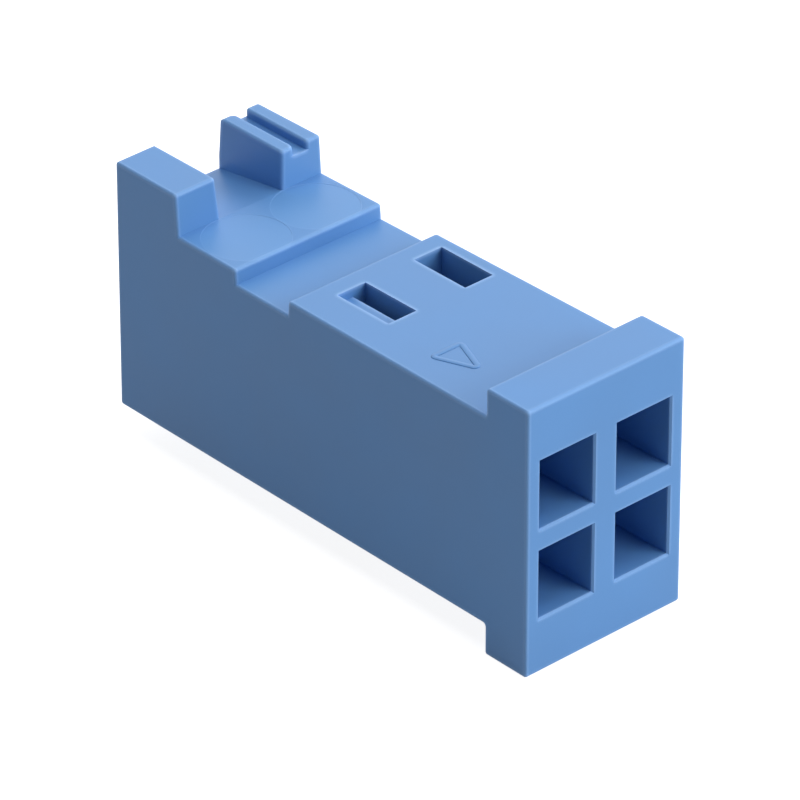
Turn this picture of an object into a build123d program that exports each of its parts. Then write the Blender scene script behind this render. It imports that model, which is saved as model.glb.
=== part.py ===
from build123d import *
from math import radians, tan
import os

# A moulded contact housing for a board and cable connector, two columns by two rows.
# Its length runs along X. The flanged contact side is at +X and the mating side at -X.
# The origin is under the middle of the bounding box, and +Z is up.

# Contact grid
pitch = 2.54
columns = 2
rows = 2

# Contact cavities, measured at their mouths in the flange face
cavity_width = 1.77
cavity_height = 1.92
cavity_draft = 0.4

# Outer form
housing_length = 15.19
mating_wall = 1.2
side_wall = 0.435
top_wall = 0.76
floor_wall = 0.675
side_draft = 0.83
flange_thickness = 1.48
upper_lip = 0.77
lower_lip = 0.86

# Slot across the top, measured from the flange face
slot_start = 8.66
slot_width = 1.99
slot_depth = 0.41
slot_draft = 4.0

# Keying blocks on the rear of the top, each measured from the centre line to its inner face
left_block_inset = 1.01
right_block_inset = 1.045
block_length = 2.38
left_block_height = 1.15
right_block_height = 1.05
block_draft = 4.0
rib_width = 0.43
groove_depth = 0.25
ramp_drop = 0.35

# Pin entries through the mating wall
pin_entry = 0.9
pin_lead_in = 0.25

# Latch windows over the cavities, and the ledge inside the left one
window_length = 1.845
window_width = 0.92
window_setback = 6.215
window_margin = 0.07
ledge_width = 0.5
ledge_depth = 0.25

# Round marks that the ejector pins leave between slot and blocks
mark_radius = 1.14
mark_depth = 0.005
mark_spacing = 2.3
mark_setback = 11.66

# Edge radii
flange_edge = 0.08
root_edge = 0.08
slot_edge = 0.08
side_edge = 0.07
block_corner = 0.09
block_edge = 0.08
rib_corner = 0.18
mouth_edge = 0.05
fillet_gap = 0.01

# Sizes that follow from the ones above
housing_width = (columns - 1) * pitch + cavity_width + 2 * side_wall
body_height = (rows - 1) * pitch + cavity_height + top_wall + floor_wall
flange_height = body_height + upper_lip + lower_lip
face_x = housing_length / 2
mating_x = -housing_length / 2
flange_back_x = face_x - flange_thickness
body_bottom = lower_lip
body_top = lower_lip + body_height
grid_z = body_bottom + floor_wall + ((rows - 1) * pitch + cavity_height) / 2
block_face_x = mating_x + block_length
left_block_top = body_top + left_block_height
right_block_top = body_top + right_block_height
cavity_depth = housing_length - mating_wall
rear_half_width = housing_width / 2 - housing_length * tan(radians(side_draft))
slot_front_x = face_x - slot_start
slot_rear_x = slot_front_x - slot_width
slot_lean = slot_depth * tan(radians(slot_draft))
left_lean = left_block_height * tan(radians(block_draft))
right_lean = right_block_height * tan(radians(block_draft))
groove_start = right_block_inset + right_lean + rib_width
groove_end = rear_half_width - rib_width
rib_corner_fit = min(rib_corner, rib_width - block_corner - fillet_gap)
block_edge_fit = min(block_edge, rib_corner_fit - fillet_gap, block_corner - fillet_gap)
window_x = face_x - window_setback - window_length / 2
window_offset = (cavity_width - window_width) / 2 - window_margin
upper_drop = top_wall + cavity_height / 2
lower_drop = floor_wall + cavity_height / 2
ledge_y = window_offset - ((columns - 1) * pitch + window_width) / 2
mark_x = face_x - mark_setback

# Reach of the selections by position
near = 0.01

with BuildPart() as housing:
    # Side outline of body, flange and slot, drawn looking along Y
    with BuildSketch(Plane.XZ) as side_outline:
        with BuildLine():
            Polyline(
                (mating_x, body_bottom),
                (flange_back_x, body_bottom),
                (flange_back_x, 0),
                (face_x, 0),
                (face_x, flange_height),
                (flange_back_x, flange_height),
                (flange_back_x, body_top),
                (slot_front_x, body_top),
                (slot_front_x - slot_lean, body_top - slot_depth),
                (slot_rear_x + slot_lean, body_top - slot_depth),
                (slot_rear_x, body_top),
                (mating_x, body_top),
                close=True,
            )
        make_face()
        fillet(side_outline.vertices().group_by(Axis.X)[-1], radius=flange_edge)
        corners = side_outline.vertices()
        fillet(corners.filter_by_position(Axis.X, flange_back_x - near, flange_back_x + near), radius=root_edge)
        corners = side_outline.vertices().filter_by_position(Axis.X, slot_rear_x - near, slot_front_x + near)
        fillet(corners.filter_by_position(Axis.Y, body_top - near, body_top + near), radius=slot_edge)
        fillet(side_outline.vertices().group_by(Axis.X)[0].sort_by(Axis.Y)[0], radius=flange_edge)
    extrude(amount=housing_width / 2, both=True)

    # Keying blocks, drafted on the faces that show
    with BuildSketch(Plane.XY.offset(body_top)) as left_base:
        with Locations((block_face_x, -left_block_inset)):
            Rectangle(2 * block_length, housing_width, align=(Align.MAX, Align.MAX))
    extrude(amount=left_block_height, taper=block_draft)
    with BuildSketch(Plane.XY.offset(body_top)) as right_base:
        with Locations((block_face_x, right_block_inset)):
            Rectangle(2 * block_length, housing_width, align=(Align.MAX, Align.MIN))
    extrude(amount=right_block_height, taper=block_draft)

    # Plan outline: both long sides close in towards the mating side and trim the blocks flush
    with BuildSketch(Plane.XY) as plan_outline:
        with BuildLine():
            Polyline(
                (face_x, -housing_width / 2),
                (face_x, housing_width / 2),
                (mating_x, rear_half_width),
                (mating_x, -rear_half_width),
                close=True,
            )
        make_face()
    extrude(amount=max(left_block_top, right_block_top), mode=Mode.INTERSECT)

    # Groove along the right block, which leaves two ribs
    with BuildSketch(Plane.XY.offset(right_block_top)) as groove_outline:
        with Locations((block_face_x, groove_start)):
            Rectangle(2 * block_length, groove_end - groove_start, align=(Align.CENTER, Align.MIN))
    extrude(amount=-groove_depth, mode=Mode.SUBTRACT)

    # Upright corners: the blocks' inner near corners, then the groove's ends, rounder at the inner rib
    left_reach = left_block_inset + 2 * left_lean
    right_reach = right_block_inset + 2 * right_lean
    uprights = housing.edges().filter_by_position(Axis.Z, body_top + near, left_block_top - near)
    uprights = uprights.filter_by_position(Axis.X, block_face_x - 2 * left_lean, block_face_x)
    fillet(uprights.filter_by_position(Axis.Y, -left_reach, right_reach), radius=block_corner)
    groove_floor = right_block_top - groove_depth
    rib_ends = housing.edges().filter_by_position(Axis.Z, groove_floor + near, right_block_top - near)
    fillet(rib_ends.filter_by_position(Axis.Y, groove_start - near, groove_start + near), radius=rib_corner_fit)
    rib_ends = housing.edges().filter_by_position(Axis.Z, groove_floor + near, right_block_top - near)
    fillet(rib_ends.filter_by_position(Axis.Y, groove_end - near, groove_end + near), radius=block_corner)

    # Rims of the blocks and ribs, apart from the long outer ones
    outer_rim = rear_half_width - near
    rims = housing.edges().filter_by_position(Axis.Y, -outer_rim, outer_rim)
    left_rims = rims.filter_by_position(Axis.Z, left_block_top - near, left_block_top + near)
    right_rims = rims.filter_by_position(Axis.Z, right_block_top - near, right_block_top + near)
    fillet(left_rims + right_rims, radius=block_edge_fit)

    # Rims of both long sides
    fillet(housing.faces().sort_by(Axis.Y)[0].edges(), radius=side_edge)
    fillet(housing.faces().sort_by(Axis.Y)[-1].edges(), radius=side_edge)

    # Ramp between the blocks, falling towards the mating side
    with BuildSketch(Plane.XZ.offset(left_block_inset)) as ramp_outline:
        with BuildLine():
            Polyline(
                (block_face_x, body_top),
                (mating_x, body_top),
                (mating_x, body_top - ramp_drop),
                close=True,
            )
        make_face()
    extrude(amount=-(left_block_inset + right_block_inset), mode=Mode.SUBTRACT)

    # Contact cavities, drafted as a core pin leaves them
    with BuildSketch(Plane.YZ.offset(face_x)) as cavity_mouths:
        with Locations((0, grid_z)):
            with GridLocations(pitch, pitch, columns, rows):
                Rectangle(cavity_width, cavity_height)
    extrude(amount=-cavity_depth, taper=cavity_draft, mode=Mode.SUBTRACT)
    mouths = housing.faces().sort_by(Axis.X)[-1].inner_wires()
    chamfer(mouths.edges(), length=mouth_edge)

    # Pin entries through the mating wall, with sloped lead-ins
    with BuildSketch(Plane.YZ.offset(mating_x)) as pin_entries:
        with Locations((0, grid_z)):
            with GridLocations(pitch, pitch, columns, rows):
                Rectangle(pin_entry, pin_entry)
    extrude(amount=2 * mating_wall, mode=Mode.SUBTRACT)
    entries = housing.faces().sort_by(Axis.X)[0].inner_wires()
    chamfer(entries.edges(), length=pin_lead_in)

    # Latch windows into the upper cavities, the left one with a ledge along its outer side
    with BuildSketch(Plane.XY.offset(body_top)) as upper_windows:
        with Locations((window_x, window_offset)):
            with GridLocations(window_length, pitch, 1, columns):
                Rectangle(window_length, window_width)
        with Locations((window_x, ledge_y)):
            Rectangle(window_length, ledge_width, align=(Align.CENTER, Align.MIN), mode=Mode.SUBTRACT)
    extrude(amount=-upper_drop, mode=Mode.SUBTRACT)
    with BuildSketch(Plane.XY.offset(body_top)) as ledge_outline:
        with Locations((window_x, ledge_y)):
            Rectangle(window_length, ledge_width, align=(Align.CENTER, Align.MIN))
    extrude(amount=-ledge_depth, mode=Mode.SUBTRACT)

    # The same windows turned over for the lower cavities
    with BuildSketch(Plane.XY.offset(body_bottom)) as lower_windows:
        with Locations((window_x, -window_offset)):
            with GridLocations(window_length, pitch, 1, columns):
                Rectangle(window_length, window_width)
    extrude(amount=lower_drop, mode=Mode.SUBTRACT)

    # Ejector pin marks, cut off at the slot and at the blocks
    with BuildSketch(Plane.XY.offset(body_top)) as pin_marks:
        with Locations((mark_x, 0)):
            with GridLocations(mark_radius, mark_spacing, 1, 2):
                Circle(mark_radius)
        with Locations((slot_rear_x - slot_edge, 0)):
            Rectangle(slot_width, housing_width, align=(Align.MIN, Align.CENTER), mode=Mode.SUBTRACT)
        with Locations((block_face_x, 0)):
            Rectangle(block_length, housing_width, align=(Align.MAX, Align.CENTER), mode=Mode.SUBTRACT)
    extrude(amount=-mark_depth, mode=Mode.SUBTRACT)

housing.part.label = "housing"
os.makedirs("parts", exist_ok=True)
export_step(housing.part, "parts/housing.step")
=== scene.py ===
from math import cos, pi, radians, sin

import bpy
import numpy as np
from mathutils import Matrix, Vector


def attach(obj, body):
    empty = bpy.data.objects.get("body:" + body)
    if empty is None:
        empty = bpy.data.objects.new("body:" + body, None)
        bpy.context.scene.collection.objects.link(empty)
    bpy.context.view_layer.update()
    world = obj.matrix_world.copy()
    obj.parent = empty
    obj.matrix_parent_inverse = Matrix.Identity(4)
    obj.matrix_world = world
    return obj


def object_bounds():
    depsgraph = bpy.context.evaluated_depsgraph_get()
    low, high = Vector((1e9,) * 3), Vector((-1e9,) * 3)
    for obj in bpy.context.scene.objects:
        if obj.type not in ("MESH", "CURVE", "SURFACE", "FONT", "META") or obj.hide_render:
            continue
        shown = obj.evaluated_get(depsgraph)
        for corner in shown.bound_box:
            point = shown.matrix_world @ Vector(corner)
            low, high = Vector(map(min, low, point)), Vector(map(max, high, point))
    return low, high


bl_info = {
    "name": "Contact housing finish",
    "version": (1, 0, 0),
    "blender": (4, 5, 0),
    "location": "View3D > Sidebar > Housing",
    "description": "Gives a moulded contact housing its plastic, its index mark and a plain studio",
    "category": "Object",
}

MM = 0.001
BODY = "root"
HOUSING = "housing"

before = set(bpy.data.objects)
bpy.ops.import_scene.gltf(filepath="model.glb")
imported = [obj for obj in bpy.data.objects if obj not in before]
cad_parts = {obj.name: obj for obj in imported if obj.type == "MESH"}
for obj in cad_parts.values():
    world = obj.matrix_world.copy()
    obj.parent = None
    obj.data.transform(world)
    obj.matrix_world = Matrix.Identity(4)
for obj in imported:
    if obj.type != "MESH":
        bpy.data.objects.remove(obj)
cad_low, cad_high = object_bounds()

# Height of the top, in metres, from the housing's own box, and how near to it counts as on it
BLOCK_HEIGHT = 1.15 * MM
TOP_Z = cad_high.z - BLOCK_HEIGHT
TOP_REACH = 0.1 * MM

# One ejector mark's middle, which the other mirrors across the housing, and its soft edge
EJECTOR_PLACE = (-4.065 * MM, 1.15 * MM, 0)
EJECTOR_RADIUS = 1.14 * MM
EJECTOR_SOFTNESS = 0.03 * MM

# Values between which most of a noise texture lies
NOISE_LOW, NOISE_HIGH = 0.3, 0.7

# The Mix node's sockets for colours
MIX_FIRST, MIX_SECOND, MIX_RESULT = 6, 7, 2

# Section of the index mark's line, outside to inside: foot, shoulder, crown, shoulder, foot.
# Places across are shares of the line's width, and heights are shares of its height.
SECTION_ACROSS = (0.5, 0.42, 0.33, 0.0, -0.33, -0.42, -0.5)
SECTION_UP = (-0.15, 0.55, 0.93, 1.0, 0.93, 0.55, -0.15)
CORNER_STEPS = 9

LAMPS = ("top", "key", "front", "side", "back", "fill")
SENSOR_WIDTH = 36
CLIP_START, CLIP_END = 0.01, 10


def linear(code):
    """An sRGB hex colour as linear red, green and blue, by the sRGB standard's curve."""
    parts = np.array([int(code[i : i + 2], 16) for i in (1, 3, 5)]) / 255
    return tuple(np.where(parts <= 0.04045, parts / 12.92, ((parts + 0.055) / 1.055) ** 2.4))


def add(tree, kind, inputs=None, **settings):
    """Adds a node with its settings, and sets or links each named input."""
    node = tree.nodes.new(kind)
    for name, value in settings.items():
        setattr(node, name, value)
    for name, value in (inputs or {}).items():
        if isinstance(value, bpy.types.NodeSocket):
            tree.links.new(value, node.inputs[name])
        else:
            node.inputs[name].default_value = value
    return node


def calculate(tree, operation, *values):
    """The result of a Math node."""
    return add(tree, "ShaderNodeMath", dict(enumerate(values)), operation=operation).outputs[0]


def spread(tree, value, start, end, low, high, kind="LINEAR"):
    """A value that goes from low to high as the given one goes from start to end."""
    inputs = {"Value": value, "From Min": start, "From Max": end, "To Min": low, "To Max": high}
    return add(tree, "ShaderNodeMapRange", inputs, interpolation_type=kind).outputs[0]


def mix(tree, factor, first, second):
    """A colour that goes from the first to the second as the factor goes from 0 to 1."""
    inputs = {"Factor": factor, MIX_FIRST: first, MIX_SECOND: second}
    return add(tree, "ShaderNodeMix", inputs, data_type="RGBA").outputs[MIX_RESULT]


def noise(tree, place, width, detail, roughness):
    """Noise whose coarsest marks are about as wide as said."""
    inputs = {"Vector": place, "Scale": 1 / width, "Detail": detail, "Roughness": roughness}
    return add(tree, "ShaderNodeTexNoise", inputs, noise_dimensions="3D").outputs[0]


def seen_directly(tree):
    """1 for rays that the camera, gloss or clear parts send, and 0 for all others."""
    rays = add(tree, "ShaderNodeLightPath").outputs
    seen = calculate(tree, "MAXIMUM", rays["Is Camera Ray"], rays["Is Glossy Ray"])
    return calculate(tree, "MAXIMUM", seen, rays["Is Transmission Ray"])


def empty_material(name):
    """A node material with nothing in it."""
    material = bpy.data.materials.new(name)
    material.use_nodes = True
    material.node_tree.nodes.clear()
    return material


def dress(piece, material):
    """Gives every face of a piece one material."""
    piece.data.materials.clear()
    piece.data.materials.append(material)


def softbox_share(name, default):
    """A property for how much light one softbox gives."""
    return bpy.props.FloatProperty(
        name=name,
        description=f"Light of the {name.lower()} softbox, as a share of what a white sky gives",
        default=default, min=0,
    )


def softbox_direction(name, default):
    """A property for where one softbox stands."""
    return bpy.props.FloatVectorProperty(
        name=f"{name} direction",
        description=f"From the housing towards the {name.lower()} softbox",
        size=3, subtype="XYZ", default=default,
    )


class HousingFinish(bpy.types.PropertyGroup):
    """The moulded plastic and its marks."""

    colour: bpy.props.FloatVectorProperty(
        name="Plastic", description="Colour of the plastic",
        subtype="COLOR", size=3, min=0, max=1, default=linear("#5A8CC5"),
    )
    # Painted sheen: a lighter colour over the real ejector marks
    mark_sheen_colour: bpy.props.FloatVectorProperty(
        name="Polished marks", description="Colour over the ejector marks",
        subtype="COLOR", size=3, min=0, max=1, default=linear("#5F91C9"),
    )
    # Painted highlight: a lighter colour laid along the outer edges
    rim_highlight_colour: bpy.props.FloatVectorProperty(
        name="Rims", description="Colour along the outer edges",
        subtype="COLOR", size=3, min=0, max=1, default=linear("#88B0E2"),
    )
    rim_highlight_reach: bpy.props.FloatProperty(
        name="Rim width", description="How far the lighter tone reaches from an edge",
        default=0.12 * MM, unit="LENGTH",
    )
    rim_highlight_backing: bpy.props.FloatProperty(
        name="Rim backing", description="Share of plastic behind an edge at which the tone is full",
        default=0.55, min=0, max=1, subtype="FACTOR",
    )
    tone_change: bpy.props.FloatProperty(
        name="Tone change", description="How much the flow marks lighten or darken the plastic",
        default=0.04, min=0, max=1, subtype="FACTOR",
    )
    roughness: bpy.props.FloatProperty(
        name="Roughness", description="Roughness of the satin mould finish",
        default=0.42, min=0, max=1, subtype="FACTOR",
    )
    roughness_change: bpy.props.FloatProperty(
        name="Roughness change", description="How much the flow marks change the roughness",
        default=0.04, min=0, max=1, subtype="FACTOR",
    )
    refraction: bpy.props.FloatProperty(
        name="Refraction", description="Index of refraction of the plastic", default=1.56, min=1,
    )
    gloss: bpy.props.FloatProperty(
        name="Gloss", description="Strength of the surface reflection, with 0.5 for a bare surface",
        default=0.22, min=0, max=1, subtype="FACTOR",
    )
    grain: bpy.props.FloatProperty(
        name="Grain", description="Width of one pit of the mould's spark finish",
        default=0.07 * MM, unit="LENGTH",
    )
    grain_depth: bpy.props.FloatProperty(
        name="Grain depth", description="Depth of the spark finish",
        default=0.001 * MM, unit="LENGTH",
    )
    flow: bpy.props.FloatProperty(
        name="Flow marks",
        description="Width of the soft tone changes that the flow of plastic leaves",
        default=4 * MM, unit="LENGTH",
    )


class IndexMark(bpy.types.PropertyGroup):
    """The raised triangle beside the first contact."""

    centre: bpy.props.FloatVectorProperty(
        name="Centre", description="Middle of the triangle on the top",
        size=2, subtype="XYZ", unit="LENGTH", default=(3.9 * MM, -1.18 * MM),
    )
    length: bpy.props.FloatProperty(
        name="Length", description="Point to base", default=1.5 * MM, unit="LENGTH",
    )
    width: bpy.props.FloatProperty(
        name="Width", description="Length of the base", default=1.2 * MM, unit="LENGTH",
    )
    stroke: bpy.props.FloatProperty(
        name="Stroke", description="Width of the raised line", default=0.17 * MM, unit="LENGTH",
    )
    height: bpy.props.FloatProperty(
        name="Height", description="How far the line stands above the top",
        default=0.02 * MM, unit="LENGTH",
    )
    corner: bpy.props.FloatProperty(
        name="Corner", description="Radius at the triangle's corners",
        default=0.16 * MM, unit="LENGTH",
    )


class Studio(bpy.types.PropertyGroup):
    """Floor, lamps and camera."""

    sky: bpy.props.FloatProperty(
        name="Sky", description="Strength of the even light from all round", default=0.03, min=0,
    )
    top: softbox_share("Top", 0.5)
    top_direction: softbox_direction("Top", (0.0, 0.0, 1.0))
    key: softbox_share("Key", 0.24)
    key_direction: softbox_direction("Key", (0.5, 0.56, 0.62))
    front: softbox_share("Front", 1.0)
    front_direction: softbox_direction("Front", (0.88, 0.42, 0.22))
    side: softbox_share("Side", 0.42)
    side_direction: softbox_direction("Side", (0.0, 0.85, 0.5))
    back: softbox_share("Back", 0.27)
    back_direction: softbox_direction("Back", (-0.63, 0.58, 0.52))
    fill: softbox_share("Fill", 0.19)
    fill_direction: softbox_direction("Fill", (-0.4, -0.85, 0.3))
    softbox_distance: bpy.props.FloatProperty(
        name="Softbox distance", description="From the housing to each softbox",
        default=0.2, unit="LENGTH",
    )
    softbox_size: bpy.props.FloatProperty(
        name="Softbox size", description="Length of each softbox's side",
        default=0.16, unit="LENGTH",
    )
    floor_size: bpy.props.FloatProperty(
        name="Floor", description="Length of the floor's side", default=0.4, unit="LENGTH",
    )
    floor_colour: bpy.props.FloatVectorProperty(
        name="Floor colour", description="Colour of the floor as the lamps light it",
        subtype="COLOR", size=3, min=0, max=1, default=linear("#B8B8B8"),
    )
    floor_glow: bpy.props.FloatProperty(
        name="Floor whiteness",
        description="What the camera sees of the floor beside its own lit colour",
        default=0.88, min=0, max=1,
    )
    camera_place: bpy.props.FloatVectorProperty(
        name="Camera", description="Place of the camera",
        size=3, subtype="XYZ", unit="LENGTH", default=(0.1167664, -0.1067464, 0.0998882),
    )
    camera_azimuth: bpy.props.FloatProperty(
        name="Azimuth", description="Turn of the view round the housing",
        default=radians(47.4956), subtype="ANGLE",
    )
    camera_elevation: bpy.props.FloatProperty(
        name="Elevation", description="Height of the view above the horizon",
        default=radians(31.3784), subtype="ANGLE",
    )
    camera_lens: bpy.props.FloatProperty(
        name="Lens", description="Focal length of the camera in mm, on a sensor 36 mm wide",
        default=337.5,
    )


def moulded_plastic(name, finish, painted_rim_highlights):
    """PBT, injection moulded in a spark-finished tool.

    It gives the eye an even saturated blue under a soft satin sheen. The real ejector marks on the
    top are drawn slightly lighter, a painted sheen of their polished faces. When asked, outer edges
    get a lighter colour too, a painted highlight where little plastic lies behind them.
    """
    material = empty_material(name)
    tree = material.node_tree
    place = add(tree, "ShaderNodeTexCoord").outputs["Object"]

    # Round ejector marks: distance in plan from one centre, with the sides folded together. The
    # marks are real; their lighter colour is a painted sheen of the polished pin faces
    parts = add(tree, "ShaderNodeSeparateXYZ", {"Vector": place}).outputs
    across = calculate(tree, "ABSOLUTE", parts["Y"])
    plan = add(tree, "ShaderNodeCombineXYZ", {"X": parts["X"], "Y": across})
    reach = add(
        tree, "ShaderNodeVectorMath", {0: plan.outputs[0], 1: EJECTOR_PLACE}, operation="DISTANCE",
    )
    inside = spread(
        tree, reach.outputs["Value"],
        EJECTOR_RADIUS + EJECTOR_SOFTNESS, EJECTOR_RADIUS - EJECTOR_SOFTNESS, 0, 1, "SMOOTHSTEP",
    )
    on_top = calculate(tree, "COMPARE", parts["Z"], TOP_Z, TOP_REACH)
    marks = calculate(tree, "MULTIPLY", inside, on_top)
    plastic = mix(tree, marks, (*finish.colour, 1), (*finish.mark_sheen_colour, 1))

    if painted_rim_highlights:
        # Painted highlight: outer edges, which have little plastic behind them (rays sent inwards
        # soon leave the piece), turn a lighter colour
        backing = add(
            tree, "ShaderNodeAmbientOcclusion", {"Distance": finish.rim_highlight_reach},
            inside=True, only_local=True, samples=8,
        )
        edge = spread(tree, backing.outputs["AO"], 1.0, finish.rim_highlight_backing, 0, 1)
        plastic = mix(tree, edge, plastic, (*finish.rim_highlight_colour, 1))

    # Slow flow marks, in the tone and in the sheen
    flow = noise(tree, place, finish.flow, 2.0, 0.5)
    tone = spread(
        tree, flow, NOISE_LOW, NOISE_HIGH, 1 - finish.tone_change, 1 + finish.tone_change,
    )
    shade = add(tree, "ShaderNodeVectorMath", {0: plastic, "Scale": tone}, operation="SCALE")
    sheen = spread(
        tree, flow, NOISE_LOW, NOISE_HIGH,
        finish.roughness - finish.roughness_change, finish.roughness + finish.roughness_change,
    )

    # Satin grain of the spark finish, drawn a little coarser than real so that it shows
    grain = noise(tree, place, finish.grain, 3.0, 0.6)
    bump = add(
        tree, "ShaderNodeBump", {"Height": grain, "Strength": 1.0, "Distance": finish.grain_depth},
    )
    surface = add(
        tree, "ShaderNodeBsdfPrincipled",
        {"Base Color": shade.outputs[0], "Roughness": sheen, "IOR": finish.refraction,
         "Specular IOR Level": finish.gloss, "Normal": bump.outputs[0]},
    )
    add(tree, "ShaderNodeOutputMaterial", {"Surface": surface.outputs[0]})
    return material


def pale_floor(colour, glow):
    """Matt pale laminate, smooth rolled.

    It gives the eye a plain white ground with a soft contact shadow. Rays that the camera, gloss
    or clear parts send see it lighter by an even glow, and the light on the housing is unchanged.
    """
    material = empty_material("floor_white_laminate")
    tree = material.node_tree
    strength = calculate(tree, "MULTIPLY", seen_directly(tree), glow)
    matt = add(tree, "ShaderNodeBsdfDiffuse", {"Color": (*colour, 1)})
    light = add(tree, "ShaderNodeEmission", {"Strength": strength})
    both = add(tree, "ShaderNodeAddShader", {0: matt.outputs[0], 1: light.outputs[0]})
    add(tree, "ShaderNodeOutputMaterial", {"Surface": both.outputs[0]})
    return material


def surface_object(name, points, closed_u=False, closed_v=False):
    """A mesh object from a grid of points, with a face between each four neighbours.

    Where a direction is closed, its last points join its first.
    """
    rows, columns = points.shape[:2]
    last_row = rows if closed_u else rows - 1
    last_column = columns if closed_v else columns - 1
    u, v = np.meshgrid(np.arange(last_row), np.arange(last_column), indexing="ij")
    u, v = u.ravel(), v.ravel()
    next_u, next_v = (u + 1) % rows, (v + 1) % columns
    corners = [(u, v), (next_u, v), (next_u, next_v), (u, next_v)]
    faces = np.stack([row * columns + column for row, column in corners], axis=1)
    mesh = bpy.data.meshes.new(name)
    mesh.from_pydata(points.reshape(-1, 3).tolist(), [], faces.tolist())
    mesh.update()
    mesh.shade_smooth()
    piece = bpy.data.objects.new(name, mesh)
    bpy.context.scene.collection.objects.link(piece)
    return piece


def rounded_corners(corners, radius, steps):
    """A closed outline with arcs of one radius at its corners, and its outward normals.

    For each corner, the arc's centre lies on the bisector, radius / sin(half the angle) away. The
    outline is the run of arcs, and the straight sides between them are one step each.
    """
    corners = np.asarray(corners)
    before = np.roll(corners, 1, axis=0) - corners
    after = np.roll(corners, -1, axis=0) - corners
    before /= np.linalg.norm(before, axis=1, keepdims=True)
    after /= np.linalg.norm(after, axis=1, keepdims=True)
    middle = before + after
    middle /= np.linalg.norm(middle, axis=1, keepdims=True)
    half = np.arccos(np.clip((before * middle).sum(axis=1), -1, 1))
    centres = corners + middle * (radius / np.sin(half))[:, None]
    sweep = np.linspace(-1, 1, steps)[None, :] * (pi / 2 - half)[:, None]
    base = np.arctan2(-middle[:, 1], -middle[:, 0])[:, None]
    angles = base + sweep
    normals = np.stack([np.cos(angles), np.sin(angles)], axis=-1)
    points = centres[:, None, :] + radius * normals
    return points.reshape(-1, 2), normals.reshape(-1, 2)


class HOUSING_OT_moulded_plastic(bpy.types.Operator):
    """Give the housing its moulded plastic"""

    bl_idname = "housing.moulded_plastic"
    bl_label = "Moulded plastic"

    def execute(self, context):
        finish = context.scene.housing_finish
        plastic = moulded_plastic("moulded_pbt_satin", finish, painted_rim_highlights=True)
        dress(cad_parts[HOUSING], plastic)
        return {"FINISHED"}


class HOUSING_OT_index_mark(bpy.types.Operator):
    """Add the raised triangle beside the first contact"""

    bl_idname = "housing.index_mark"
    bl_label = "Index mark"

    def execute(self, context):
        mark = context.scene.index_mark
        x, y = mark.centre
        half = mark.width / 2
        corners = [
            (x + mark.length / 2, y),
            (x - mark.length / 2, y + half),
            (x - mark.length / 2, y - half),
        ]
        path, normals = rounded_corners(corners, mark.corner, CORNER_STEPS)
        out = np.array(SECTION_ACROSS) * mark.stroke - mark.stroke / 2
        up = np.array(SECTION_UP) * mark.height
        points = np.empty((len(path), len(out), 3))
        points[..., :2] = path[:, None, :] + normals[:, None, :] * out[None, :, None]
        points[..., 2] = TOP_Z + up[None, :]
        piece = surface_object("index_mark", points, closed_u=True, closed_v=True)

        # The line is all edge, so it keeps the plain tone
        finish = context.scene.housing_finish
        dress(piece, moulded_plastic("moulded_pbt_satin_mark", finish, painted_rim_highlights=False))
        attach(piece, BODY)
        return {"FINISHED"}


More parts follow.
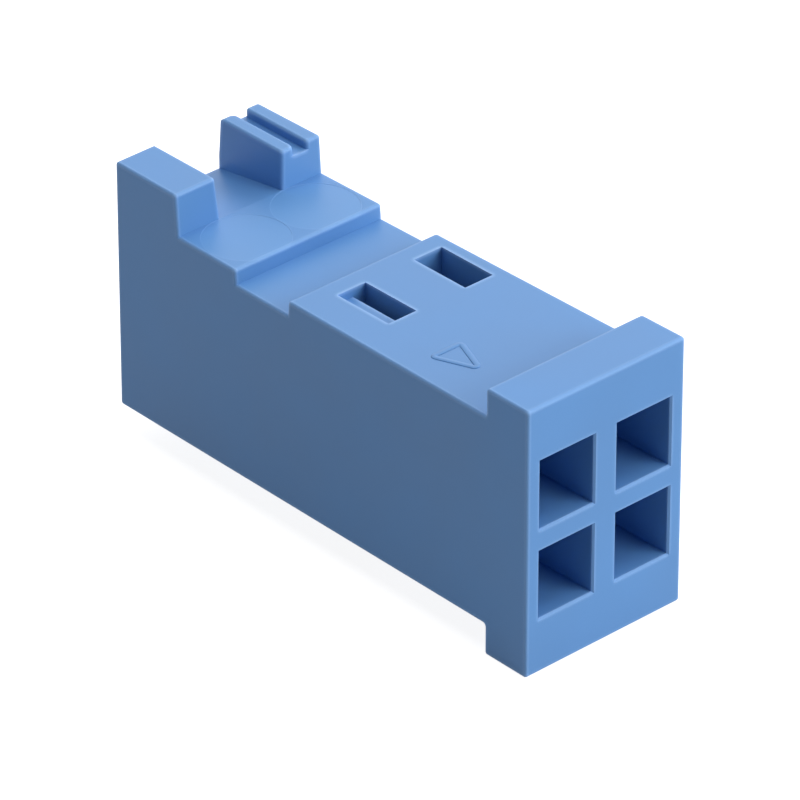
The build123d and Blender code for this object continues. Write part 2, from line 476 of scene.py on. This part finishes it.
class HOUSING_OT_studio(bpy.types.Operator):
    """Set up the floor, the soft light and the camera"""

    bl_idname = "housing.studio"
    bl_label = "Studio"

    def execute(self, context):
        studio = context.scene.studio
        scene = context.scene
        scene.view_settings.view_transform = "Standard"

        half = studio.floor_size / 2
        ends = (-half, half)
        floor = surface_object("floor", np.array([[[x, y, 0.0] for y in ends] for x in ends]))
        dress(floor, pale_floor(studio.floor_colour, studio.floor_glow))

        # A white background for what the camera and gloss see, and a dimmer even sky for the rest
        world = bpy.data.worlds.new("studio")
        scene.world = world
        world.use_nodes = True
        tree = world.node_tree
        tree.nodes.clear()
        strength = spread(tree, seen_directly(tree), 0, 1, studio.sky, 1)
        sky = add(tree, "ShaderNodeBackground", {"Color": (1, 1, 1, 1), "Strength": strength})
        add(tree, "ShaderNodeOutputWorld", {"Surface": sky.outputs[0]})

        # A lamp of this power lights a face that looks at it as a sky of that share would
        centre = (cad_low + cad_high) / 2
        for name in LAMPS:
            lamp = bpy.data.lights.new(name + "_softbox", "AREA")
            lamp.shape = "SQUARE"
            lamp.size = studio.softbox_size
            lamp.energy = getattr(studio, name) * pi**2 * studio.softbox_distance**2
            softbox = bpy.data.objects.new(name + "_softbox", lamp)
            towards = Vector(getattr(studio, name + "_direction")).normalized()
            softbox.location = centre + towards * studio.softbox_distance
            softbox.rotation_mode = "QUATERNION"
            softbox.rotation_quaternion = towards.to_track_quat("Z", "Y")
            scene.collection.objects.link(softbox)

        camera = bpy.data.objects.new("camera", bpy.data.cameras.new("camera"))
        turn, rise = studio.camera_azimuth, studio.camera_elevation
        back = Vector((sin(turn) * cos(rise), -cos(turn) * cos(rise), sin(rise)))
        camera.location = studio.camera_place
        camera.rotation_mode = "QUATERNION"
        camera.rotation_quaternion = back.to_track_quat("Z", "Y")
        camera.data.sensor_width = SENSOR_WIDTH
        camera.data.lens = studio.camera_lens
        camera.data.clip_start = CLIP_START
        camera.data.clip_end = CLIP_END
        scene.collection.objects.link(camera)
        scene.camera = camera
        return {"FINISHED"}


class HOUSING_PT_panel(bpy.types.Panel):
    """Lists the steps and their sizes in the sidebar"""

    bl_label = "Contact housing"
    bl_idname = "HOUSING_PT_panel"
    bl_space_type = "VIEW_3D"
    bl_region_type = "UI"
    bl_category = "Housing"

    def draw(self, context):
        for operator, group in STEPS:
            box = self.layout.box()
            box.operator(operator.bl_idname)
            settings = getattr(context.scene, group)
            for name in settings.__annotations__:
                box.prop(settings, name)


STEPS = (
    (HOUSING_OT_moulded_plastic, "housing_finish"),
    (HOUSING_OT_index_mark, "index_mark"),
    (HOUSING_OT_studio, "studio"),
)
GROUPS = {"housing_finish": HousingFinish, "index_mark": IndexMark, "studio": Studio}
CLASSES = (*GROUPS.values(), *(operator for operator, group in STEPS), HOUSING_PT_panel)


def register():
    for each in CLASSES:
        bpy.utils.register_class(each)
    for name, group in GROUPS.items():
        setattr(bpy.types.Scene, name, bpy.props.PointerProperty(type=group))


def unregister():
    for name in GROUPS:
        delattr(bpy.types.Scene, name)
    for each in reversed(CLASSES):
        bpy.utils.unregister_class(each)


def main():
    register()
    bpy.ops.housing.moulded_plastic()
    bpy.ops.housing.index_mark()
    bpy.ops.housing.studio()


if __name__ == "__main__":
    main()
